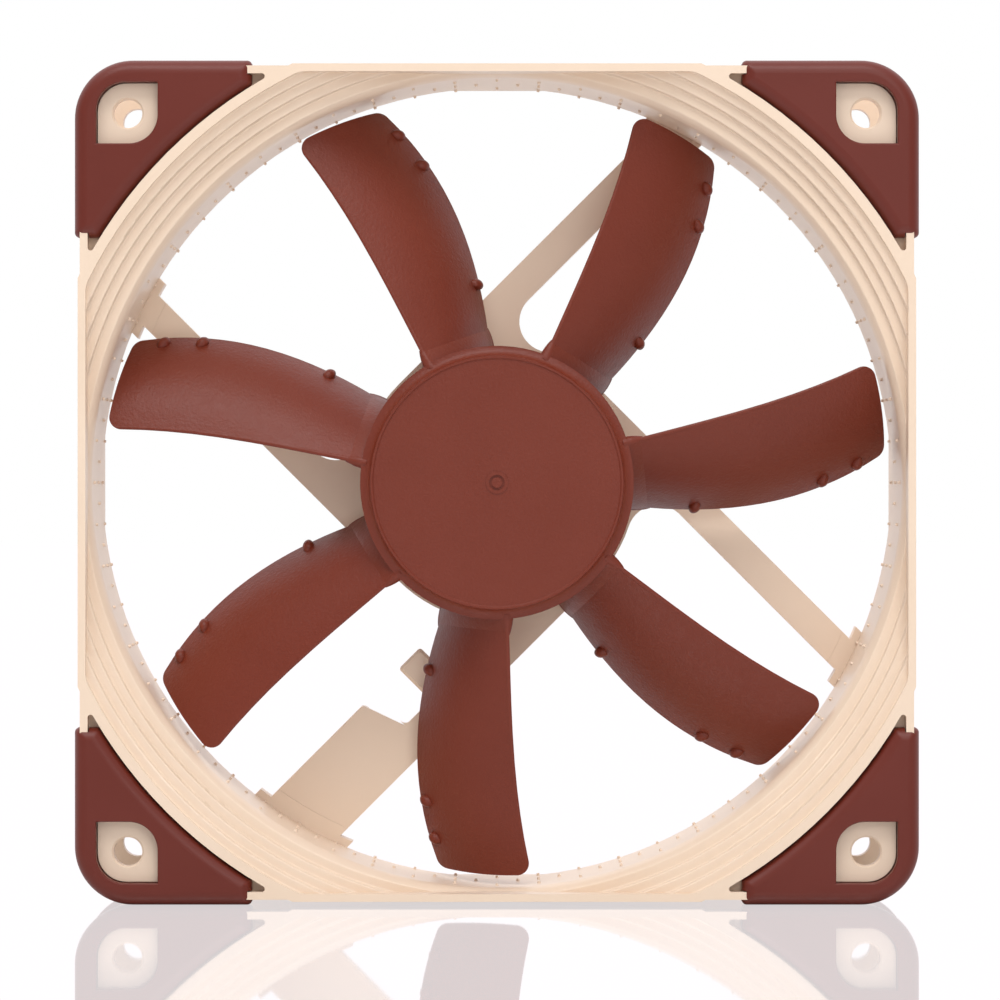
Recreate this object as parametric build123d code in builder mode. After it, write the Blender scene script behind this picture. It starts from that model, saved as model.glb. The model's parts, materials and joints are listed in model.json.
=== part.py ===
from build123d import *

import os
from math import asin, atan2, cos, degrees, hypot, radians, sin, sqrt, tan

# A 120 mm case fan: a square frame with a stepped inlet, eight soft corner pads, a seven-bladed
# impeller on a sleeve bearing, and the stator and circuit board that drive it.
#
# Millimetres. The rotor turns about Y. Air enters at -Y and leaves at +Y, +Z is up, and the origin
# is on the rotor's axis in the middle of the fan. A height h is measured from the origin towards
# the inlet, so y = -h. Angles are seen from the inlet, counterclockwise from +X.

# Overall
frame_width = 120.0
frame_depth = 25.0
press_gap = 0.05

# Corner pads
pad_side_proud = 0.8
pad_face_proud = 0.5
pad_corner_radius = 8.3
pad_length = 25.2
pad_gap = 0.15
pad_edge_radius = 1.9
pad_end_radius = 0.7
pad_window_radius = 0.2
pad_leaf_gap = 0.12

# Frame flanges and their corner pockets
flange_thickness = 4.0
band_proud = 0.3
band_width = 1.1
rim_width = 1.1
ring_rim_width = 1.45
pocket_depth = 2.4
pocket_overrun = 1.85
pocket_end_radius = 0.4
shoulder_width = 2.2
shoulder_drop = 1.8
neck_drop = 4.5

# Screw holes and the bosses round them
hole_inset = 7.5
hole_radius = 2.05
hole_chamfer = 0.25
boss_size = 8.5
boss_drop = 1.6
leaf_radius = 4.1

# Stepped inlet, duct and outlet flare
duct_wall = 2.0
throat_gain = 0.5
bell_rise = 1.0
bell_depth = 2.2
last_tread = 1.4
step_count = 4
step_width = 1.45
step_height = 1.05
step_edge_radius = 0.28
recess_corner_radius = 4.0
flare_depth = 4.0
flare_width = 3.2

# Nubs on the duct wall
nub_rows = 3
nubs_per_row = 30
wall_nub_radius = 0.32
wall_nub_height = 0.3
wall_nub_root = 0.4
nub_first_depth = 9.2
nub_row_pitch = 5.2

# Motor base
base_lip = 0.8
base_floor = 1.3
base_wall = 1.8
board_ledge = 1.0
socket_radius = 5.8
socket_height = 1.6
label_margin = 3.3
label_thickness = 0.2
label_recess = 0.3

# Struts and the lead channel beside the lower left one
strut_count = 4
strut_direction = 45.0
strut_width = 4.65
strut_depth = 3.5
strut_fillet = 4.5
strut_reach = 4.5
foot_overhang = 1.9
foot_rise = 1.0
foot_step = 0.3
foot_ridge = 2.5
channel_strut = 2
channel_width = 6.5
channel_skin = 1.2
channel_lip = 0.9
channel_start = 34.6
channel_slant = 2.3
channel_corner_radius = 0.5
channel_web = 1.0
tab_start = 25.0
tab_length = 4.4
tab_depth = 1.6
tab_corner_radius = 0.5
tab_chamfer = 0.4

# Impeller hub
hub_radius = 19.5
hub_wall = 1.5
hub_setback = 1.2
hub_edge_radius = 1.5
hub_rim_width = 1.75
hub_face_drop = 0.2
hub_rear_gap = 0.8
nub_radius = 0.75
nub_groove_radius = 1.1
nub_ring_radius = 1.6
nub_rise = 0.12

# Blades
blade_count = 7
blade_phase = 8.0
tip_clearance = 1.0
lead_root_angle = 9.8
lead_angle_slope = -5.6
lead_angle_bend = 5.9
trail_root_angle = -17.7
trail_angle_slope = 6.9
trail_angle_bend = 7.3
lead_root_drop = 1.9
lead_tip_drop = 5.0
trail_rise = 2.4
trail_tip_drop = 0.6
blade_thickness = 1.9
blade_edge_thickness = 1.0
blade_taper = 0.35
blade_camber = 0.07
root_bury = 0.9
root_flare = ((-0.9, 0.45), (0.5, 0.3), (2.0, -0.12))
tip_lead_radius = 1.8
tip_trail_radius = 1.9

# Knobs on the trailing edges
knob_radii = (27.9, 46.9, 52.2)
knob_length = 2.5
knob_radius = 0.8
knob_inset = 1.7
knob_lift = 0.55
knob_tilt = 28.0

# Shaft and bearing
shaft_radius = 1.5
running_clearance = 0.03
bush_radius = 3.0
bush_length = 5.6
boss_wall = 1.4
tube_radius = 4.0
tube_wall = 0.8
tube_gap = 0.6
thrust_pad_thickness = 0.5
end_magnet_thickness = 0.8
end_cap_thickness = 0.8
end_play = 0.1
clip_thickness = 0.4
clip_radius = 2.4
clip_groove = 0.3
clip_gap = 0.3
seal_thickness = 0.4
seal_gap = 0.25

# Stator, magnet and board
yoke_thickness = 0.8
magnet_thickness = 1.5
magnet_length = 12.0
magnet_lift = 0.6
air_gap = 0.4
core_length = 6.0
core_ring_wall = 3.0
pole_count = 4
pole_width = 3.6
pole_shoe_thickness = 1.7
pole_shoe_angle = 72.0
bobbin_thickness = 0.5
bobbin_lip = 2.4
coil_build = 2.0
coil_gap = 0.1
ear_radius = 1.0
ear_place = 8.7
pin_radius = 0.35
pin_hole_radius = 0.42
pin_stub = 0.4
board_thickness = 1.0
board_lift = 1.9
board_gap = 0.4
chip_size = (4.0, 5.0)
chip_height = 1.2
chip_place = 11.5
hall_size = (1.5, 3.0)
hall_height = 0.5
small_part_size = (0.9, 1.7)
small_part_height = 0.7
small_part_angles = (20.0, 55.0, 125.0, 160.0, 200.0, 235.0, 305.0, 340.0)

# Levels and radii that follow
flange_half = frame_width / 2 - pad_side_proud
face = frame_depth / 2 - pad_face_proud
hole_place = frame_width / 2 - hole_inset
band_half = flange_half + band_proud
recess_half = band_half - band_width
duct_exit_radius = band_half - duct_wall
throat_radius = duct_exit_radius + throat_gain
bell_radius = throat_radius + bell_rise
recess_radius = bell_radius + last_tread + (step_count - 1) * step_width
ring_radius = recess_radius + ring_rim_width
recess_floor = face - step_count * step_height
throat_level = recess_floor - bell_depth
flange_back = face - flange_thickness
pocket_floor = face - pocket_depth
pocket_half = flange_half - rim_width
pocket_start = frame_width / 2 - pad_length - pocket_overrun
skirt_half = flange_half + press_gap
plug_half = pocket_half - pad_gap
boss_top = face - boss_drop

base_radius = hub_radius + base_lip
label_radius = base_radius - label_margin
strut_front = -face + strut_depth
strut_inner = base_radius - strut_width
base_inside = -face + base_floor
strut_end = duct_exit_radius + strut_reach
channel_side = strut_inner - channel_width

hub_front = face - hub_setback
hub_face = hub_front - hub_face_drop
hub_inside = hub_front - hub_wall
hub_rear = strut_front + hub_rear_gap
blade_tip_radius = duct_exit_radius - tip_clearance
lead_root_height = hub_front - lead_root_drop
trail_root_height = hub_rear + trail_rise

yoke_radius = hub_radius - hub_wall
magnet_radius = yoke_radius - yoke_thickness
magnet_bore = magnet_radius - magnet_thickness
magnet_rear = hub_rear + magnet_lift
core_radius = magnet_bore - air_gap
core_rear = magnet_rear + (magnet_length - core_length) / 2
core_front = core_rear + core_length
core_ring_radius = tube_radius + core_ring_wall
shoe_inner = core_radius - pole_shoe_thickness
boss_radius = bush_radius + boss_wall
bush_rear = hub_inside - bush_length
tube_bore = tube_radius - tube_wall
tube_front = bush_rear - tube_gap
tube_rear = -face + label_recess
cap_front = tube_rear + end_cap_thickness
end_magnet_front = cap_front + end_magnet_thickness
thrust_pad_front = end_magnet_front + thrust_pad_thickness
shaft_rear = thrust_pad_front + end_play
clip_rear = shaft_rear + clip_thickness
clip_front = clip_rear + clip_thickness
sleeve_rear = clip_front + clip_gap
sleeve_front = tube_front - seal_thickness
board_rear = base_inside + board_lift
board_front = board_rear + board_thickness
board_radius = base_radius - base_wall - board_gap
bobbin_reach = bobbin_thickness + bobbin_lip
duct_outer_radius = band_half
pocket_corner = pad_corner_radius - pad_side_proud - rim_width
notch_start = duct_exit_radius - 3 * foot_rise - strut_width
channel_angle = strut_direction + channel_strut * 360 / strut_count

# Local x is the radius and local y is the height
section = Plane(origin=(0, 0, 0), x_dir=(1, 0, 0), z_dir=(0, 0, -1))


def level(height):
    """The plane square to the axis at a height, seen from the inlet."""
    return Plane.XZ.offset(height)


def spoke(angle, height):
    """The plane of level(height) turned so that its local x points along an angle."""
    along = (cos(radians(angle)), 0, sin(radians(angle)))
    return Plane(origin=(0, -height, 0), x_dir=along, z_dir=(0, -1, 0))


def save(part, label):
    """Name a finished piece and write it."""
    part.label = label
    export_step(part, f"parts/{label}.step")


def ring(outer, inner, rear, front):
    """A plain ring about the axis between two heights, or a disc where inner is 0."""
    with BuildPart() as body:
        with BuildSketch(level(rear)):
            Circle(outer)
            if inner > 0:
                Circle(inner, mode=Mode.SUBTRACT)
        extrude(amount=front - rear)
    return body.part


def corner_sketch(start, half, outer_radius, inner_radius, end_radius):
    """Outline of the upper right corner: two straight sides, two short ends and an inner arc."""
    with BuildSketch() as outline:
        with Locations(((start + half) / 2, (start + half) / 2)):
            Rectangle(half - start, half - start)
        fillet(outline.vertices().sort_by(Axis.X).sort_by(lambda v: v.X + v.Y)[-1], outer_radius)
        Circle(inner_radius, mode=Mode.SUBTRACT)
        ends = outline.vertices().filter_by(lambda v: min(v.X, v.Y) < start + end_radius / 2)
        end_length = half - sqrt(inner_radius**2 - start**2)
        fillet(ends, min(end_radius, 0.6 * end_length))
    return outline.sketch


def leaf_sketch(size):
    """Square round a screw hole whose corners on the diagonal are rounded."""
    with BuildSketch() as outline:
        with Locations((hole_place, hole_place)):
            Rectangle(size, size)
        by_diagonal = outline.vertices().sort_by(lambda v: v.X + v.Y)
        fillet([by_diagonal[0], by_diagonal[-1]], leaf_radius)
    return outline.sketch


def turned(sketch, sx, sz):
    """A sketch of the upper right corner mirrored into another corner."""
    if sx < 0:
        sketch = sketch.mirror(Plane.YZ)
    if sz < 0:
        sketch = sketch.mirror(Plane.XZ)
    return sketch


os.makedirs("parts", exist_ok=True)

# ------------------------------------------------------------------ frame


def step_outline(radius):
    """Circle in common with a square, with soft corners where the two meet."""
    with BuildSketch() as outline:
        Rectangle(2 * recess_half, 2 * recess_half)
        Circle(radius, mode=Mode.INTERSECT)
        fillet(outline.vertices(), recess_corner_radius)
    return outline.sketch


with BuildPart() as recess:
    # Stepped rings that lead down to the bell mouth, cut by flat sides
    with BuildSketch(section) as stair:
        with BuildLine():
            stairs = [(recess_radius, face + 1)]
            for k in range(step_count):
                riser = recess_radius - k * step_width
                stairs.append((riser, face - (k + 1) * step_height))
                stairs.append((max(riser - step_width, bell_radius), face - (k + 1) * step_height))
            stairs[-1] = (bell_radius, recess_floor)
            Polyline(*stairs)
            TangentArc((throat_radius, throat_level), (bell_radius, recess_floor), tangent=(0, 1))
            Polyline((throat_radius, throat_level), (0, throat_level), (0, face + 1), stairs[0])
        make_face()
        stair_edges = [v for v in stair.vertices() if v.X > throat_radius + 0.1 and v.Y < face]
        fillet(stair_edges, step_edge_radius)
    revolve(axis=Axis.Y)
    with BuildSketch(level(throat_level)):
        add(step_outline(recess_radius))
    extrude(amount=frame_depth, mode=Mode.INTERSECT)

with BuildPart() as flare:
    with BuildSketch(section):
        with BuildLine():
            Polyline(
                (duct_exit_radius - 1, -face - 1),
                (duct_exit_radius + flare_width, -face - 1),
                (duct_exit_radius + flare_width, -face),
                (duct_exit_radius, -face + flare_depth),
                (duct_exit_radius - 1, -face + flare_depth),
                close=True,
            )
        make_face()
    revolve(axis=Axis.Y)
    with BuildSketch(level(-face - 1)):
        Rectangle(2 * duct_exit_radius, 2 * duct_exit_radius)
    extrude(amount=flare_depth + 1, mode=Mode.INTERSECT)

def is_strut_root(vertex):
    """Whether a corner of the spider lies where a strut's inner side leaves the motor base."""
    on_base = abs(hypot(vertex.X, vertex.Y) - base_radius) < 0.01
    root_angle = strut_direction + degrees(asin(strut_inner / base_radius))
    turn = (degrees(atan2(vertex.Y, vertex.X)) - root_angle) % (360 / strut_count)
    return on_base and min(turn, 360 / strut_count - turn) < 0.5


with BuildPart() as spider:
    # Motor base and struts, which run tangentially from the base into the duct wall
    with BuildSketch(level(-face)) as star:
        Circle(base_radius)
        with PolarLocations(0, strut_count, start_angle=strut_direction):
            with Locations((strut_end / 2, strut_inner + strut_width / 2)):
                Rectangle(strut_end, strut_width)
        fillet(star.vertices().filter_by(is_strut_root), strut_fillet)
    extrude(amount=strut_depth)
    with BuildSketch(level(-face)):
        Circle(strut_end)
    extrude(amount=strut_depth, mode=Mode.INTERSECT)

with BuildPart() as feet:
    # Low steps on the duct wall where the struts meet it
    with BuildSketch(level(-face)):
        Circle(strut_end)
        Circle(duct_exit_radius - foot_rise, mode=Mode.SUBTRACT)
    extrude(amount=strut_depth + foot_step)
    with BuildSketch(level(-face)):
        with PolarLocations(0, strut_count, start_angle=strut_direction):
            with Locations((strut_end / 2, strut_inner + strut_width / 2)):
                Rectangle(strut_end, strut_width + 2 * foot_overhang)
        with PolarLocations(0, 1, start_angle=channel_angle):
            with Locations((strut_end / 2, (channel_side + strut_inner) / 2)):
                Rectangle(strut_end, channel_width + 2 * foot_overhang)
    extrude(amount=strut_depth + foot_step, mode=Mode.INTERSECT)
    # The step goes on further along the struts themselves
    with BuildSketch(level(strut_front)):
        with PolarLocations(0, strut_count, start_angle=strut_direction):
            with Locations((strut_end / 2, strut_inner + strut_width / 2)):
                Rectangle(strut_end, strut_width)
        with PolarLocations(0, 1, start_angle=channel_angle):
            with Locations((strut_end / 2, (channel_side + strut_inner) / 2)):
                Rectangle(strut_end, channel_width)
        Circle(strut_end, mode=Mode.INTERSECT)
        Circle(duct_exit_radius - foot_ridge, mode=Mode.SUBTRACT)
    extrude(amount=foot_step)

with BuildPart() as channel:
    # Plate beside one strut, hollow towards the outlet, where the leads lie
    with BuildSketch(spoke(channel_angle, -face)) as plate:
        with BuildLine():
            Polyline(
                (channel_start, strut_inner + strut_width / 2),
                (channel_start, strut_inner),
                (channel_start + channel_slant, channel_side),
                (strut_end, channel_side),
                (strut_end, strut_inner + strut_width / 2),
                close=True,
            )
        make_face()
        fillet(plate.vertices().sort_by(Axis.Y)[:2].sort_by(Axis.X)[0], channel_corner_radius)
    extrude(amount=strut_depth)
    # Rounded corner between the plate's slanted end and the strut
    with BuildSketch(spoke(channel_angle, -face)) as web:
        with Locations((channel_start - channel_web / 2, strut_inner - channel_web / 4)):
            Rectangle(channel_web, channel_web * 1.5)
        with Locations((channel_start - channel_web, strut_inner - channel_web)):
            Circle(channel_web, mode=Mode.SUBTRACT)
        with Locations((channel_start - channel_web, strut_inner - 2 * channel_web)):
            Rectangle(4 * channel_web, 2 * channel_web, mode=Mode.SUBTRACT)
    extrude(amount=strut_depth)
    with BuildSketch(spoke(channel_angle, -face)):
        with Locations(((channel_start + strut_end) / 2, (channel_side + channel_lip + strut_inner) / 2)):
            Rectangle(strut_end - channel_start + 2 * channel_slant, channel_width - channel_lip)
    extrude(amount=strut_depth - channel_skin, mode=Mode.SUBTRACT)
    # Tab that holds the leads nearer the motor
    with BuildSketch(spoke(channel_angle, strut_front)) as tab:
        with Locations((tab_start + tab_length / 2, (channel_side + strut_inner) / 2)):
            Rectangle(tab_length, channel_width + 2 * press_gap)
        fillet(tab.vertices().sort_by(Axis.Y)[:2], tab_corner_radius)
    extrude(amount=-tab_depth)
    free_edge = channel.edges().filter_by(
        lambda e: abs(-e.center().Y - strut_front) < 0.01
        and abs(spoke(channel_angle, 0).to_local_coords(e.center()).Y - channel_side + press_gap) < 0.02
        and spoke(channel_angle, 0).to_local_coords(e.center()).X < tab_start + tab_length)
    chamfer(free_edge, tab_chamfer)

corner_signs = ((1, 1), (-1, 1), (-1, -1), (1, -1))
pocket = corner_sketch(pocket_start, pocket_half, pocket_corner, ring_radius, pocket_end_radius)
boss = leaf_sketch(boss_size)

nub_planes = []
for row in range(nub_rows):
    height = face - nub_first_depth - row * nub_row_pitch
    wall = throat_radius - throat_gain * (throat_level - height) / (throat_level + face)
    for k in range(nubs_per_row):
        angle = radians((k + (row + 1) % 2 / 2) * 360 / nubs_per_row)
        outward = Vector(cos(angle), 0, sin(angle))
        root_place = outward * (wall + wall_nub_root) - Vector(0, height, 0)
        nub_planes.append(Plane(origin=root_place, z_dir=-outward))

with BuildPart() as frame:
    # Round body: two flange rings joined by the duct
    with BuildSketch(section):
        with BuildLine():
            half_profile = [
                (throat_radius, face),
                (ring_radius, face),
                (ring_radius, flange_back),
                (duct_outer_radius + shoulder_width, flange_back - shoulder_drop),
                (duct_outer_radius, flange_back - neck_drop),
            ]
            rear_profile = [
                (duct_outer_radius, -flange_back + neck_drop),
                (duct_outer_radius + shoulder_width, -flange_back + shoulder_drop),
                (ring_radius, -flange_back),
                (ring_radius, -face),
                (duct_exit_radius, -face),
                (throat_radius, throat_level),
            ]
            Polyline(*half_profile, *rear_profile, close=True)
        make_face()
    revolve(axis=Axis.Y)
    with BuildSketch(level(-face)):
        Rectangle(2 * band_half, 2 * band_half)
    extrude(amount=2 * face, mode=Mode.INTERSECT)
    # Corner plates with their pockets and screw bosses, front and rear
    for side in (1, -1):
        with BuildSketch(level(side * flange_back)):
            RectangleRounded(2 * flange_half, 2 * flange_half, pad_corner_radius - pad_side_proud)
            Circle(ring_radius - ring_rim_width / 2, mode=Mode.SUBTRACT)
        extrude(amount=side * flange_thickness)
        with BuildSketch(level(side * pocket_floor)):
            for sx, sz in corner_signs:
                add(turned(pocket, sx, sz))
        extrude(amount=side * pocket_depth, mode=Mode.SUBTRACT)
        with BuildSketch(level(side * (pocket_floor - 0.2))):
            for sx, sz in corner_signs:
                add(turned(boss, sx, sz))
        extrude(amount=side * (boss_top - pocket_floor + 0.2))
    # Air spaces
    add(recess.part, mode=Mode.SUBTRACT)
    add(flare.part, mode=Mode.SUBTRACT)
    # Screw holes
    with BuildSketch(level(-face)):
        with GridLocations(2 * hole_place, 2 * hole_place, 2, 2):
            Circle(hole_radius)
    extrude(amount=2 * face, mode=Mode.SUBTRACT)
    hole_rims = frame.edges().filter_by(GeomType.CIRCLE).filter_by(
        lambda e: abs(e.radius - hole_radius) < 0.01 and abs(abs(e.center().Y) - boss_top) < 0.01)
    chamfer(hole_rims, hole_chamfer)
    # Motor base, struts and lead channel
    add(spider.part)
    add(feet.part)
    add(channel.part)
    with BuildSketch(level(base_inside)):
        Circle(base_radius - base_wall)
    extrude(amount=strut_depth, mode=Mode.SUBTRACT)
    with BuildSketch(level(base_inside)):
        Circle(base_radius - base_wall)
        Circle(base_radius - base_wall - board_ledge, mode=Mode.SUBTRACT)
    extrude(amount=board_lift)
    with BuildSketch(level(base_inside)):
        Circle(socket_radius)
    extrude(amount=socket_height)
    with BuildSketch(level(-face)):
        Circle(tube_radius)
    extrude(amount=strut_depth, mode=Mode.SUBTRACT)
    with BuildSketch(level(-face)):
        Circle(label_radius + 2 * press_gap)
    extrude(amount=label_recess, mode=Mode.SUBTRACT)
    # Notch through the feet and the rear flange where the leads come out
    with BuildSketch(spoke(channel_angle, -face)):
        with Locations((notch_start + ring_radius / 2, (channel_side + channel_lip + strut_inner) / 2)):
            Rectangle(ring_radius, channel_width - channel_lip)
    extrude(amount=strut_depth - channel_skin, mode=Mode.SUBTRACT)
    # Nubs on the duct wall
    with Locations(*nub_planes):
        Cone(
            wall_nub_radius,
            wall_nub_radius / 2,
            wall_nub_root + wall_nub_height,
            align=(Align.CENTER, Align.CENTER, Align.MIN),
        )

save(frame.part, "frame_housing")

# ------------------------------------------------------------------ corner pads

pad_outline = corner_sketch(
    frame_width / 2 - pad_length, frame_width / 2, pad_corner_radius, ring_radius + pad_gap, pad_end_radius)
pad_window = leaf_sketch(boss_size + 2 * pad_leaf_gap)

with BuildPart() as pad:
    with BuildSketch(level(flange_back)):
        add(pad_outline)
    extrude(amount=frame_depth / 2 - flange_back)
    fillet(pad.faces().sort_by(Axis.Y)[0].edges(), pad_edge_radius)
    # Room for the flange inside the skirt, up to the pocket's floor and over its rim
    with BuildSketch(level(flange_back - 1)):
        RectangleRounded(2 * skirt_half, 2 * skirt_half, pad_corner_radius - pad_side_proud)
    extrude(amount=pocket_floor - flange_back + 1, mode=Mode.SUBTRACT)
    with BuildSketch(level(flange_back - 1)):
        RectangleRounded(2 * skirt_half, 2 * skirt_half, pad_corner_radius - pad_side_proud)
        RectangleRounded(2 * plug_half, 2 * plug_half, pocket_corner, mode=Mode.SUBTRACT)
    extrude(amount=face - flange_back + 1, mode=Mode.SUBTRACT)
    with BuildSketch(level(pocket_floor)):
        add(pad_window)
    extrude(amount=frame_depth, mode=Mode.SUBTRACT)
    fillet(pad.faces().sort_by(Axis.Y)[0].inner_wires()[0].edges(), pad_window_radius)

corner_names = ("top_right", "top_left", "bottom_left", "bottom_right")
for (sx, sz), name in zip(corner_signs, corner_names):
    front_pad = pad.part
    if sx < 0:
        front_pad = front_pad.mirror(Plane.YZ)
    if sz < 0:
        front_pad = front_pad.mirror(Plane.XY)
    save(front_pad, f"front_pad_{name}")
    save(front_pad.mirror(Plane.XZ), f"rear_pad_{name}")

# ------------------------------------------------------------------ impeller


def blade_edges(radius):
    """Sideways place and height of a blade's leading and trailing edge at a radius."""
    share = (radius - hub_radius) / (blade_tip_radius - hub_radius)
    lead_angle = lead_root_angle + share * (lead_angle_slope + share * lead_angle_bend)
    trail_angle = trail_root_angle + share * (trail_angle_slope + share * trail_angle_bend)
    lead = Vector(radius * tan(radians(lead_angle)), lead_root_height - share * lead_tip_drop)
    trail = Vector(radius * tan(radians(trail_angle)), trail_root_height - share * trail_tip_drop)
    return lead, trail


def blade_plane(radius):
    """Plane square to the blade's radial line: local x is sideways and local y is the height."""
    return Plane(origin=(radius, 0, 0), x_dir=(0, 0, 1), z_dir=(1, 0, 0))


def blade_section(radius, swell=0):
    """A cambered section with rounded edges, its hollow side towards the outlet, swollen all round."""
    share = (radius - hub_radius) / (blade_tip_radius - hub_radius)
    lead, trail = blade_edges(radius)
    along = (trail - lead).normalized()
    lead -= along * swell
    trail += along * swell
    chord = trail - lead
    up = Vector(along.Y, -along.X)
    edge = blade_edge_thickness / 2 * (1 - blade_taper * share) + swell
    crown = up * (blade_camber * chord.length)
    half = up * (blade_thickness / 2 * (1 - blade_taper * share) + swell)
    middle = lead + chord * 0.45 + crown
    front_cap = lead + along * edge
    rear_cap = trail - along * edge
    with BuildSketch(blade_plane(radius)) as outline:
        with BuildLine():
            ThreePointArc(front_cap + up * edge, middle + half, rear_cap + up * edge)
            ThreePointArc(rear_cap + up * edge, trail, rear_cap - up * edge)
            ThreePointArc(rear_cap - up * edge, middle - half, front_cap - up * edge)
            ThreePointArc(front_cap - up * edge, lead, front_cap + up * edge)
        make_face()
    return outline.sketch


def knob_pose(radius):
    """Middle of a knob on the blade's inlet side and the way it points."""
    share = (radius - hub_radius) / (blade_tip_radius - hub_radius)
    lead, trail = blade_edges(radius)
    along = (trail - lead).normalized()
    up = Vector(along.Y, -along.X)
    rise = blade_edge_thickness / 2 * (1 - blade_taper * share) + knob_lift
    spot = trail - along * knob_inset + up * rise
    place = Vector(radius, -spot.Y, spot.X)
    inwards = Vector(0, along.Y, -along.X)
    return place, inwards * cos(radians(knob_tilt)) + Vector(1, 0, 0) * sin(radians(knob_tilt))


span = blade_tip_radius - hub_radius
station_radii = [hub_radius - root_bury] + [hub_radius + span * f for f in (0.08, 0.3, 0.55, 0.8, 1.04)]
outline_radii = [hub_radius - 2 * root_bury] + [hub_radius + span * f for f in (0.3, 0.6, 0.85, 1.06)]

with BuildPart() as blade:
    for radius in station_radii:
        add(blade_section(radius))
    loft()
    # Rounded tip corners
    with BuildSketch(level(hub_rear)) as plan:
        with BuildLine():
            lead_line = [Vector(r, blade_edges(r)[0].X) for r in outline_radii]
            trail_line = [Vector(r, blade_edges(r)[1].X) for r in outline_radii]
            Spline(*lead_line)
            Line(lead_line[-1], trail_line[-1])
            Spline(*trail_line)
            Line(trail_line[0], lead_line[0])
        make_face()
        Circle(blade_tip_radius, mode=Mode.INTERSECT)
        tips = plan.vertices().filter_by(lambda v: hypot(v.X, v.Y) > blade_tip_radius - 0.01).sort_by(Axis.Y)
        fillet(tips[0], tip_trail_radius)
        tips = plan.vertices().sort_by(lambda v: v.Y)
        fillet(tips[-1], tip_lead_radius)
    extrude(amount=2 * frame_depth, both=True, mode=Mode.INTERSECT)
    for radius in knob_radii:
        place, way = knob_pose(radius)
        with BuildSketch(Plane(origin=place, x_dir=way, z_dir=way.cross(Vector(0, 1, 0)).normalized())):
            with BuildLine():
                ThreePointArc(
                    (-knob_length / 2, 0), (-knob_length * 0.12, knob_radius), (knob_length / 2, 0))
                Line((knob_length / 2, 0), (-knob_length / 2, 0))
            make_face()
        revolve(axis=Axis(place, way))

with BuildPart() as root:
    # Soft flare where a blade grows out of the hub
    for reach, swell in root_flare:
        add(blade_section(hub_radius + reach, swell))
    loft()

with BuildPart() as impeller:
    with BuildSketch(section):
        with BuildLine():
            Polyline(
                (0, hub_inside),
                (0, hub_face + nub_rise),
                (nub_radius, hub_face + nub_rise),
                (nub_radius, hub_face - nub_rise),
                (nub_groove_radius, hub_face - nub_rise),
                (nub_groove_radius, hub_face + nub_rise),
                (nub_ring_radius, hub_face + nub_rise),
                (nub_ring_radius, hub_face),
                (hub_radius - hub_rim_width - hub_face_drop, hub_face),
                (hub_radius - hub_rim_width, hub_front),
                (hub_radius - hub_edge_radius, hub_front),
            )
            RadiusArc((hub_radius - hub_edge_radius, hub_front), (hub_radius, hub_front - hub_edge_radius),
                      -hub_edge_radius)
            Polyline(
                (hub_radius, hub_front - hub_edge_radius),
                (hub_radius, hub_rear),
                (yoke_radius, hub_rear),
                (yoke_radius, hub_inside),
                (boss_radius, hub_inside),
                (boss_radius, bush_rear),
                (bush_radius, bush_rear),
                (bush_radius, hub_inside),
                (0, hub_inside),
            )
        make_face()
    revolve(axis=Axis.Y)
    for k in range(blade_count):
        turn = -blade_phase - k * 360 / blade_count
        add(blade.part.rotate(Axis.Y, turn))
        add(root.part.rotate(Axis.Y, turn))

save(impeller.part, "impeller")

# ------------------------------------------------------------------ motor

save(ring(yoke_radius, yoke_radius - yoke_thickness, magnet_rear, hub_inside - yoke_thickness)
     + ring(yoke_radius, boss_radius + press_gap, hub_inside - yoke_thickness, hub_inside), "yoke_cup")
save(ring(magnet_radius, magnet_bore, magnet_rear, magnet_rear + magnet_length), "magnet_ring")
save(ring(bush_radius, shaft_radius, bush_rear, hub_inside), "shaft_bush")

with BuildPart() as shaft:
    with BuildSketch(level(shaft_rear)):
        Circle(shaft_radius)
    extrude(amount=hub_inside - shaft_rear)
    with BuildSketch(level(clip_rear)):
        Circle(shaft_radius)
        Circle(shaft_radius - clip_groove, mode=Mode.SUBTRACT)
    extrude(amount=clip_thickness, mode=Mode.SUBTRACT)

save(shaft.part, "shaft")
save(ring(clip_radius, shaft_radius - clip_groove, clip_rear, clip_front), "retaining_clip")
save(ring(tube_radius, tube_bore, tube_rear, tube_front), "bearing_tube")
save(ring(tube_bore, shaft_radius + running_clearance, sleeve_rear, sleeve_front), "bearing_sleeve")
save(ring(tube_bore, shaft_radius + seal_gap, sleeve_front, tube_front), "seal_washer")
save(ring(tube_bore, 0, tube_rear, cap_front), "end_cap")
save(ring(clip_radius, 0, cap_front, end_magnet_front), "end_magnet")
save(ring(clip_radius, 0, end_magnet_front, thrust_pad_front), "thrust_pad")
save(ring(label_radius, 0, -face + label_recess - label_thickness, -face + label_recess), "rear_label")

with BuildPart() as stator_core:
    with BuildSketch(level(core_rear)) as lamination:
        with PolarLocations(0, pole_count):
            with Locations((core_radius / 2, 0)):
                Rectangle(core_radius, pole_width)
        with BuildSketch() as shoes:
            Circle(core_radius)
            Circle(shoe_inner, mode=Mode.SUBTRACT)
            with PolarLocations(core_radius, pole_count, start_angle=180 / pole_count):
                Rectangle(core_radius, 2 * core_radius * sin(radians(180 / pole_count - pole_shoe_angle / 2)),
                          mode=Mode.SUBTRACT)
        Circle(core_ring_radius)
        Circle(tube_radius, mode=Mode.SUBTRACT)
    extrude(amount=core_length)
    with BuildSketch(level(core_rear)):
        Circle(core_radius)
    extrude(amount=core_length, mode=Mode.INTERSECT)

save(stator_core.part, "stator_core")


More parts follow.
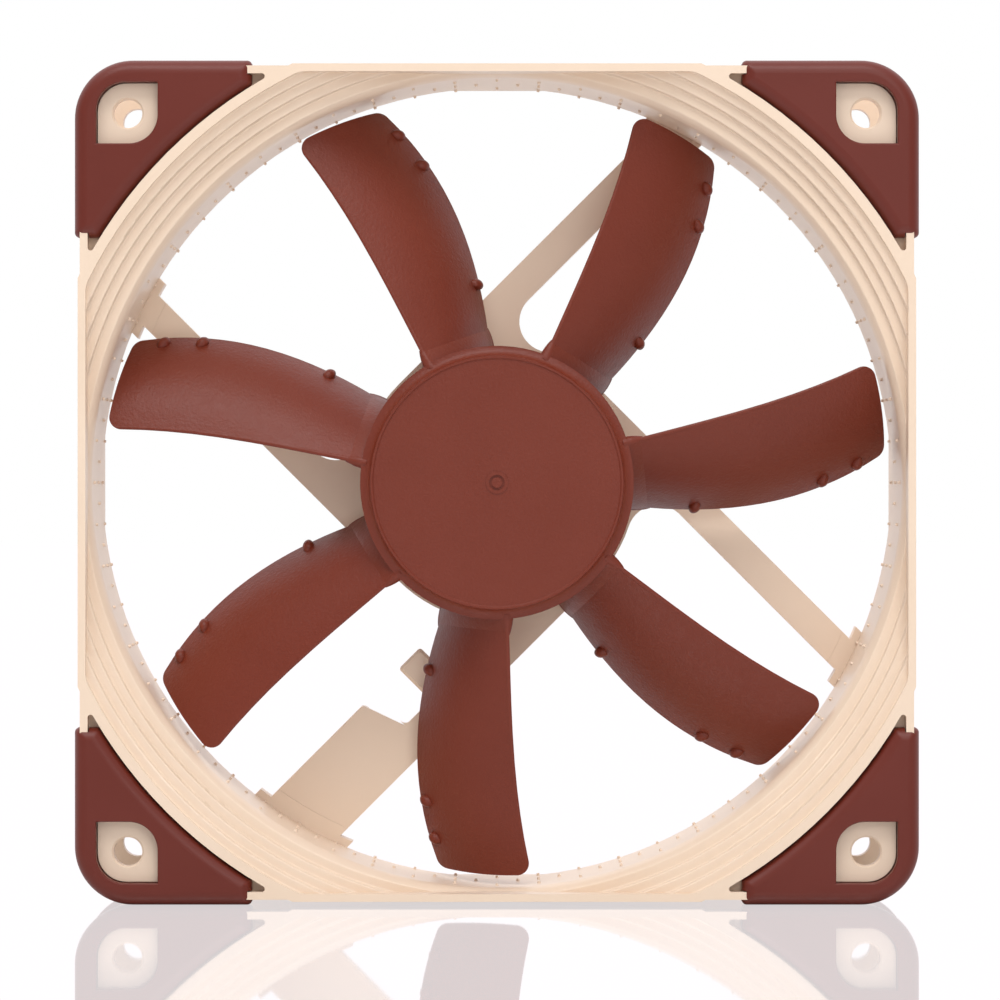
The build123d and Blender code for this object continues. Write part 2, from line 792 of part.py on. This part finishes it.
def bobbin(inner_level, way):
    """Insulating plate on one end of the core, with lips that hold the coils."""
    with BuildPart() as plate:
        with BuildSketch(level(inner_level)):
            Circle(core_ring_radius)
            with PolarLocations(0, pole_count):
                with Locations((shoe_inner / 2, 0)):
                    Rectangle(shoe_inner, pole_width)
            Circle(tube_radius + press_gap, mode=Mode.SUBTRACT)
        extrude(amount=way * bobbin_thickness)
        with BuildSketch(level(inner_level)):
            with PolarLocations(shoe_inner + bobbin_thickness / 2, pole_count):
                Rectangle(bobbin_thickness, pole_width + 2 * coil_build)
            Circle(core_ring_radius)
            Circle(core_ring_radius - bobbin_thickness, mode=Mode.SUBTRACT)
        extrude(amount=way * bobbin_reach)
        if way < 0:
            with BuildSketch(level(inner_level)):
                with PolarLocations(ear_place, pole_count, start_angle=180 / pole_count):
                    Circle(ear_radius)
                with PolarLocations(ear_place - ear_radius, pole_count, start_angle=180 / pole_count):
                    Rectangle(2 * ear_radius, ear_radius)
            extrude(amount=way * bobbin_thickness)
            with BuildSketch(level(inner_level)):
                with PolarLocations(ear_place, pole_count, start_angle=180 / pole_count):
                    Circle(pin_hole_radius)
            extrude(amount=way * bobbin_thickness, mode=Mode.SUBTRACT)
    return plate.part


save(bobbin(core_front, 1), "bobbin_front")
save(bobbin(core_rear, -1), "bobbin_rear")

coil_start = core_ring_radius + coil_gap
coil_inner_width = pole_width + 2 * coil_gap
coil_end = sqrt(shoe_inner**2 - (coil_inner_width / 2 + coil_build)**2) - coil_gap
coil_rear = core_rear - bobbin_thickness - coil_gap
coil_front = core_front + bobbin_thickness + coil_gap

with BuildPart() as coil:
    with BuildSketch(level(coil_rear - coil_build)):
        with Locations(((coil_start + coil_end) / 2, 0)):
            RectangleRounded(coil_end - coil_start, coil_inner_width + 2 * coil_build, coil_gap)
    extrude(amount=coil_front - coil_rear + 2 * coil_build)
    with BuildSketch(level(coil_rear)):
        with Locations(((coil_start + coil_end) / 2, 0)):
            Rectangle(2 * coil_end, coil_inner_width)
    extrude(amount=coil_front - coil_rear, mode=Mode.SUBTRACT)
    corners = coil.edges().filter_by(Axis.X).filter_by(lambda e: abs(e.center().Z) > coil_inner_width / 2 + 1)
    fillet(corners, coil_build * 0.8)

for k, name in enumerate(("right", "top", "left", "bottom")):
    save(coil.part.rotate(Axis.Y, -k * 360 / pole_count), f"coil_{name}")

with BuildPart() as circuit_board:
    with BuildSketch(level(board_rear)):
        Circle(board_radius)
        Circle(tube_radius + board_gap / 2, mode=Mode.SUBTRACT)
        with PolarLocations(ear_place, pole_count, start_angle=180 / pole_count):
            Circle(pin_hole_radius, mode=Mode.SUBTRACT)
    extrude(amount=board_thickness)

save(circuit_board.part, "circuit_board")

with BuildPart() as winding_pins:
    with BuildSketch(level(board_rear - pin_stub)):
        with PolarLocations(ear_place, pole_count, start_angle=180 / pole_count):
            Circle(pin_radius)
    extrude(amount=core_rear - board_rear + pin_stub - press_gap)

save(winding_pins.part, "winding_pins")

with BuildPart() as driver_chip:
    with BuildSketch(level(board_rear)):
        with Locations((0, -chip_place)):
            Rectangle(chip_size[1], chip_size[0])
    extrude(amount=-chip_height)

save(driver_chip.part, "driver_chip")

with BuildPart() as hall_sensor:
    with BuildSketch(level(board_front)):
        with PolarLocations((magnet_radius + magnet_bore) / 2, 1, start_angle=180 / pole_count):
            Rectangle(*hall_size)
    extrude(amount=hall_height)

save(hall_sensor.part, "hall_sensor")

with BuildPart() as board_components:
    with BuildSketch(level(board_rear)):
        for angle in small_part_angles:
            with PolarLocations(chip_place, 1, start_angle=angle):
                Rectangle(*small_part_size)
    extrude(amount=-small_part_height)

save(board_components.part, "board_components")
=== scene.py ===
import bmesh
import bpy
from math import cos, hypot, pi, sin
from mathutils import Matrix, Vector
from mathutils.bvhtree import BVHTree
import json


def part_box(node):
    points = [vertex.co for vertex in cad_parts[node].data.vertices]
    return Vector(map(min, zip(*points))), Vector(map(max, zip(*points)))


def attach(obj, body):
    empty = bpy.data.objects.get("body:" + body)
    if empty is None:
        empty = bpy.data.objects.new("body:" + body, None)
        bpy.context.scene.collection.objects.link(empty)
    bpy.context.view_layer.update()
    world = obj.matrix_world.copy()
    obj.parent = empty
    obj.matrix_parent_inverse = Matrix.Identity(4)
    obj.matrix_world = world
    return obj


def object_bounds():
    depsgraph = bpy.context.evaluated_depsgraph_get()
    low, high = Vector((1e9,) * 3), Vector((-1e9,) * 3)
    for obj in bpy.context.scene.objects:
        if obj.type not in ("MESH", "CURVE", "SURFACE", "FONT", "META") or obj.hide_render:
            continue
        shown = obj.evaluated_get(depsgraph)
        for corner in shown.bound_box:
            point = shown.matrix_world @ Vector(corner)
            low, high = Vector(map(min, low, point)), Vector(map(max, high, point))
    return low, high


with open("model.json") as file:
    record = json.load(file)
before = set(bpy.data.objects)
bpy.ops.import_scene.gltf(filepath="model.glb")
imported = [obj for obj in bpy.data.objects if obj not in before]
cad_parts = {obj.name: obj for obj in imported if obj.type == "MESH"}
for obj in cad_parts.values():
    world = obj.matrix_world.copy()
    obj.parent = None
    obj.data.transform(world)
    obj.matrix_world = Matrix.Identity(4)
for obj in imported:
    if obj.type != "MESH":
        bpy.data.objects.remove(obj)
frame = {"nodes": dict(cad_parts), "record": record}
cadLow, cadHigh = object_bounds()
nodes = frame["nodes"]
mm = 0.001


# Shader sums: a Wire is a socket that can be added, multiplied and compared

class Wire:
    def __init__(self, paint, socket):
        self.paint = paint
        self.socket = socket

    def sum(self, operation, other, turned=False):
        pair = [other, self] if turned else [self, other]
        return self.paint.node("ShaderNodeMath", {"operation": operation}, {0: pair[0], 1: pair[1]})

    def __add__(self, other):
        return self.sum("ADD", other)

    def __radd__(self, other):
        return self.sum("ADD", other, True)

    def __sub__(self, other):
        return self.sum("SUBTRACT", other)

    def __rsub__(self, other):
        return self.sum("SUBTRACT", other, True)

    def __mul__(self, other):
        return self.sum("MULTIPLY", other)

    def __rmul__(self, other):
        return self.sum("MULTIPLY", other, True)

    def __gt__(self, other):
        return self.sum("GREATER_THAN", other)

    def __lt__(self, other):
        return self.sum("LESS_THAN", other)


class Paint:
    def __init__(self, name, settings, owner=None):
        self.material = owner or bpy.data.materials.new(name)
        self.material.use_nodes = True
        self.tree = self.material.node_tree
        self.shader = self.tree.nodes["Background" if owner else "Principled BSDF"]
        for key, value in settings.items():
            self.shader.inputs[key].default_value = value

    def node(self, kind, settings=None, inputs=None, out=0):
        made = self.tree.nodes.new(kind)
        for key, value in (settings or {}).items():
            setattr(made, key, value)
        for key, value in (inputs or {}).items():
            if isinstance(value, Wire):
                self.tree.links.new(value.socket, made.inputs[key])
            else:
                made.inputs[key].default_value = value
        return Wire(self, made.outputs[out])

    def place(self):
        return self.node("ShaderNodeTexCoord", out="Object")

    def noise(self, size, detail=2.0, rough=0.5, at=None):
        spot = at or self.place()
        return self.node("ShaderNodeTexNoise", {"noise_dimensions": "3D"},
                         {"Vector": spot, "Scale": 1 / size, "Detail": detail, "Roughness": rough})

    def speckle(self, size, at=None):
        spot = at or self.place()
        return self.node("ShaderNodeTexVoronoi", {"feature": "F1"}, {"Vector": spot, "Scale": 1 / size})

    def blend(self, factor, first, second):
        return self.node("ShaderNodeMix", {"data_type": "RGBA"}, {0: factor, 6: first, 7: second}, out=2)

    def feed(self, key, wire):
        self.tree.links.new(wire.socket, self.shader.inputs[key])

    def ramp(self, value, low, high, first, last):
        return self.node("ShaderNodeMapRange", {"interpolation_type": "SMOOTHSTEP"},
                         {"Value": value, "From Min": low, "From Max": high, "To Min": first, "To Max": last})

    def bump(self, height, depth):
        self.feed("Normal", self.node("ShaderNodeBump", {}, {"Height": height, "Distance": depth}))


def colour(r, g, b):
    return (r, g, b, 1.0)


# Finishes

mouldedBeige = {"base": (0.825, 0.655, 0.500), "worn": (0.85, 0.69, 0.54), "shade": (0.79, 0.615, 0.455),
                "rough": 0.34, "roughSpread": 0.08, "shine": 0.5, "grain": 0.35 * mm, "grainDepth": 0.003 * mm,
                "cloud": 14 * mm}
mouldedBrown = {"base": (0.166, 0.0255, 0.0100), "worn": (0.186, 0.031, 0.0145),
                "shade": (0.147, 0.021, 0.0080),
                "rough": 0.42, "roughSpread": 0.16, "shine": 0.36, "grain": 0.46 * mm,
                "grainDepth": 0.075 * mm, "cloud": 11 * mm}
softBrown = {"base": (0.128, 0.0150, 0.0062), "worn": (0.144, 0.0190, 0.0095),
             "shade": (0.116, 0.0128, 0.0050),
             "rough": 0.42, "roughSpread": 0.08, "shine": 0.40, "grain": 0.30 * mm, "grainDepth": 0.010 * mm,
             "cloud": 9 * mm}


def mouldedPaint(name, look):
    paint = Paint(name, {"IOR": 1.48, "Specular IOR Level": look["shine"]})
    cloud = paint.noise(look["cloud"], 3.0)
    fleck = paint.noise(look["grain"] * 2.5, 2.0)
    tone = paint.blend(cloud, colour(*look["shade"]), colour(*look["worn"]))
    paint.feed("Base Color", paint.blend(0.45 + 0.3 * fleck, colour(*look["base"]), tone))
    paint.feed("Roughness", look["rough"] + look["roughSpread"] * (fleck - 0.5) + 0.08 * (cloud - 0.5))
    grain = paint.noise(look["grain"], 3.0, 0.6)
    paint.bump(grain + 0.35 * paint.noise(look["grain"] * 6, 1.0), look["grainDepth"])
    return paint.material


def metalPaint(name, tone, rough, brush=0.0, axis=1):
    paint = Paint(name, {"Metallic": 1.0})
    spot = paint.place()
    stretch = [1.0, 1.0, 1.0]
    stretch[axis] = 0.06
    lines = paint.node("ShaderNodeMapping", {}, {"Vector": spot, "Scale": stretch})
    streak = paint.noise(0.25 * mm, 2.0, at=lines)
    stain = paint.noise(5 * mm, 3.0)
    dark = tuple(0.78 * t for t in tone)
    paint.feed("Base Color", paint.blend(0.25 * stain + 0.2 * streak, colour(*tone), colour(*dark)))
    paint.feed("Roughness", rough + 0.12 * (stain - 0.5) + brush * (streak - 0.5))
    paint.bump(streak, 0.002 * mm)
    return paint.material


def plainPaint(name, tone, rough, grain, depth):
    paint = Paint(name, {"IOR": 1.5})
    mottle = paint.noise(grain, 3.0)
    cloud = paint.noise(6 * mm, 2.0)
    dark = tuple(0.82 * t for t in tone)
    paint.feed("Base Color", paint.blend(0.5 * mottle + 0.3 * cloud, colour(*tone), colour(*dark)))
    paint.feed("Roughness", rough + 0.14 * (mottle - 0.5))
    paint.bump(mottle, depth)
    return paint.material


def windingPaint(name, tone):
    paint = Paint(name, {"Metallic": 0.75, "Coat Weight": 0.6, "Coat Roughness": 0.12})
    spot = paint.place()
    apart = paint.node("ShaderNodeSeparateXYZ", {}, {"Vector": spot}, out="Y")
    turns = (apart * (2 * pi / (0.28 * mm))).sum("SINE", 0.0)
    stain = paint.noise(1.5 * mm, 2.0)
    # The darker tone is laid into the valleys of the turns pattern, where the bump is lowest: painted shade in
    # the grooves between wire turns, mixed with random stain.
    dark = tuple(0.55 * t for t in tone)
    paint.feed("Base Color", paint.blend(0.3 - 0.3 * turns + 0.2 * stain, colour(*tone), colour(*dark)))
    paint.feed("Roughness", 0.3 + 0.15 * stain)
    paint.bump(turns, 0.05 * mm)
    return paint.material


def boardPaint(name, tone):
    paint = Paint(name, {"Coat Weight": 0.5, "Coat Roughness": 0.2})
    weave = paint.speckle(0.9 * mm)
    tracks = paint.noise(2.2 * mm, 0.0)
    band = (tracks > 0.5) * (tracks < 0.54)
    light = tuple(min(1.0, 1.6 * t + 0.02) for t in tone)
    paint.feed("Base Color", paint.blend(0.25 * weave + 0.6 * band, colour(*tone), colour(*light)))
    paint.feed("Roughness", 0.35 + 0.1 * weave)
    paint.bump(band + 0.2 * weave, 0.02 * mm)
    return paint.material


print("finishes")
finishes = {
    "beige_plastic": mouldedPaint("beigeMoulding", mouldedBeige),
    "brown_plastic": mouldedPaint("brownMoulding", mouldedBrown),
    "brown_rubber": mouldedPaint("brownRubber", softBrown),
    "brass": metalPaint("turnedBrass", (0.78, 0.56, 0.27), 0.28, 0.1),
    "bearing_bronze": metalPaint("sinteredBronze", (0.56, 0.34, 0.17), 0.5, 0.05),
    "nylon": plainPaint("naturalNylon", (0.82, 0.80, 0.74), 0.45, 1.2 * mm, 0.004 * mm),
    "magnet": plainPaint("ferrite", (0.055, 0.055, 0.06), 0.55, 0.5 * mm, 0.01 * mm),
    "lamination_steel": metalPaint("laminationSteel", (0.46, 0.47, 0.50), 0.42, 0.25, 1),
    "copper_wire": windingPaint("enamelledWire", (0.70, 0.29, 0.12)),
    "tin_plate": metalPaint("tinPlate", (0.78, 0.78, 0.77), 0.3),
    "board_laminate": boardPaint("boardLacquer", (0.025, 0.19, 0.08)),
    "chip_black": plainPaint("chipEpoxy", (0.03, 0.03, 0.033), 0.5, 0.3 * mm, 0.006 * mm),
    "label_film": plainPaint("labelFilm", (0.80, 0.76, 0.68), 0.5, 0.8 * mm, 0.003 * mm),
    "yoke_steel": metalPaint("yokeSteel", (0.62, 0.63, 0.65), 0.36, 0.15),
    "shaft_steel": metalPaint("groundSteel", (0.72, 0.73, 0.75), 0.16, 0.05),
}

slotOfNode = {row["node"]: row["material_slot"] for row in frame["record"]["subparts"]}
for name, thing in nodes.items():
    thing.data.materials.clear()
    thing.data.materials.append(finishes[slotOfNode[name]])


# The housing has some of the nubs on the duct wall, and these fill in its three rows

wallNubs = {"perRow": (30, 60, 30), "firstDepth": 9.2 * mm, "rowPitch": 5.2 * mm, "radius": 0.36 * mm,
            "height": 0.32 * mm, "root": 0.3 * mm, "probeFrom": 50 * mm, "wallFrom": 57.5 * mm, "sides": 8}


def makeWallNubs(nubs):
    housing = nodes["frame_housing"].data
    wall = BVHTree.FromPolygons([v.co for v in housing.vertices], [p.vertices for p in housing.polygons])
    shape = bmesh.new()
    for row, count in enumerate(nubs["perRow"]):
        depth = housingFront + nubs["firstDepth"] + row * nubs["rowPitch"]
        for k in range(count):
            angle = 2 * pi * (k + row % 2 / 2) / count
            outward = Vector((cos(angle), 0, sin(angle)))
            start = outward * nubs["probeFrom"] + Vector((0, depth, 0))
            spot = wall.ray_cast(start, outward)[0]
            if spot is None or hypot(spot.x, spot.z) < nubs["wallFrom"]:
                continue
            middle = spot + outward * (nubs["root"] - nubs["height"]) / 2
            turn = (-outward).to_track_quat("Z", "Y").to_matrix().to_4x4()
            bmesh.ops.create_cone(shape, cap_ends=True, segments=nubs["sides"], radius1=nubs["radius"],
                                  radius2=nubs["radius"] / 2, depth=nubs["root"] + nubs["height"],
                                  matrix=Matrix.Translation(middle) @ turn)
    mesh = bpy.data.meshes.new("wall_nubs")
    shape.to_mesh(mesh)
    shape.free()
    piece = bpy.data.objects.new("wall_nubs", mesh)
    bpy.context.scene.collection.objects.link(piece)
    mesh.materials.append(finishes["beige_plastic"])
    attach(piece, "frame")


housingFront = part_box("frame_housing")[0].y
makeWallNubs(wallNubs)
print("wall nubs")


# Stage

stage = {"cameraDistance": 0.690, "viewWidth": 0.1419, "sensor": 36.0, "shiftX": 0.0031, "shiftY": -0.0174,
         "floorSize": 8.0, "floorMirror": 0.39, "floorWhite": 1.06, "floorGlow": 0.10,
         "frontSky": 0.42, "rearSky": 1.0,
         "frontUntil": -0.25, "rearFrom": 0.15, "topSky": 0.5, "floorTint": (1.0, 0.955, 0.965),
         "topFrom": 0.15, "topUntil": 0.85, "floorGap": 0.05 * mm, "floorGrey": 0.62, "floorRough": 0.9,
         "mirrorRough": 0.03}

lens = bpy.data.cameras.new("lens")
lens.sensor_width = stage["sensor"]
lens.lens = stage["sensor"] * stage["cameraDistance"] / stage["viewWidth"]
lens.shift_x = stage["shiftX"]
lens.shift_y = stage["shiftY"]
camera = bpy.data.objects.new("camera", lens)
bpy.context.scene.collection.objects.link(camera)
camera.location = (0, housingFront - stage["cameraDistance"], 0)
camera.rotation_euler = (pi / 2, 0, 0)
bpy.context.scene.camera = camera


lights = {"overhead": {"place": (-0.06, -0.46, 0.72), "size": (0.7, 0.35), "power": 3.4},
          "frontFill": {"place": (0.25, -1.0, 0.45), "size": (0.4, 0.4), "power": 1.75}}


def softLight(name, light):
    lamp = bpy.data.lights.new(name, "AREA")
    lamp.shape = "RECTANGLE"
    lamp.size, lamp.size_y = light["size"]
    lamp.energy = light["power"]
    thing = bpy.data.objects.new(name, lamp)
    bpy.context.scene.collection.objects.link(thing)
    thing.location = light["place"]
    thing.rotation_euler = (-Vector(light["place"])).to_track_quat("-Z", "Y").to_euler()  # aimed at the hub


for name, light in lights.items():
    softLight(name, light)

# The room is dim behind the camera, brighter above and bright behind the fan
sky = Paint("studio", {"Color": (0.985, 0.965, 1.0, 1)}, bpy.data.worlds.new("studio"))
bpy.context.scene.world = sky.material
towards = sky.node("ShaderNodeTexCoord", out="Generated")
across = sky.node("ShaderNodeSeparateXYZ", {}, {"Vector": towards}, out="Y")
above = sky.node("ShaderNodeSeparateXYZ", {}, {"Vector": towards}, out="Z")
depthways = sky.ramp(across, stage["frontUntil"], stage["rearFrom"], stage["frontSky"], stage["rearSky"])
sky.feed("Strength", depthways + sky.ramp(above, stage["topFrom"], stage["topUntil"], 0.0, stage["topSky"]))
backdrop = sky.node("ShaderNodeBackground", {}, {"Color": (1, 1, 1, 1), "Strength": 1.0})
straight = sky.node("ShaderNodeLightPath", out="Is Camera Ray")
either = sky.node("ShaderNodeMixShader", {}, {0: straight, 1: Wire(sky, sky.shader.outputs[0]), 2: backdrop})
sky.tree.links.new(either.socket, sky.tree.nodes["World Output"].inputs["Surface"])

bpy.context.scene.view_settings.view_transform = "Standard"

shape = bmesh.new()
bmesh.ops.create_grid(shape, x_segments=1, y_segments=1, size=stage["floorSize"] / 2)
bmesh.ops.translate(shape, verts=shape.verts, vec=(0, 0, cadLow.z - stage["floorGap"]))
floorMesh = bpy.data.meshes.new("floor")
shape.to_mesh(floorMesh)
shape.free()
floor = bpy.data.objects.new("floor", floorMesh)
bpy.context.scene.collection.objects.link(floor)
grey = stage["floorGrey"]
floorPaint = Paint("floorGloss", {"Base Color": colour(grey, grey, grey), "Roughness": stage["floorRough"],
                                  "Specular IOR Level": 0.0, "Emission Color": colour(1, 1, 1),
                                  "Emission Strength": stage["floorGlow"]})
white = floorPaint.node("ShaderNodeEmission", {},
                        {"Color": colour(*stage["floorTint"]), "Strength": stage["floorWhite"]})
mirror = floorPaint.node("ShaderNodeBsdfGlossy", {},
                         {"Color": colour(1, 1, 1), "Roughness": stage["mirrorRough"]})
seen = floorPaint.node("ShaderNodeLightPath", out="Is Camera Ray")
body = floorPaint.node("ShaderNodeMixShader", {},
                       {0: seen, 1: Wire(floorPaint, floorPaint.shader.outputs[0]), 2: white})
mixed = floorPaint.node("ShaderNodeMixShader", {}, {0: stage["floorMirror"], 1: body, 2: mirror})
floorPaint.tree.links.new(mixed.socket, floorPaint.tree.nodes["Material Output"].inputs["Surface"])
floorMesh.materials.append(floorPaint.material)
print("stage")
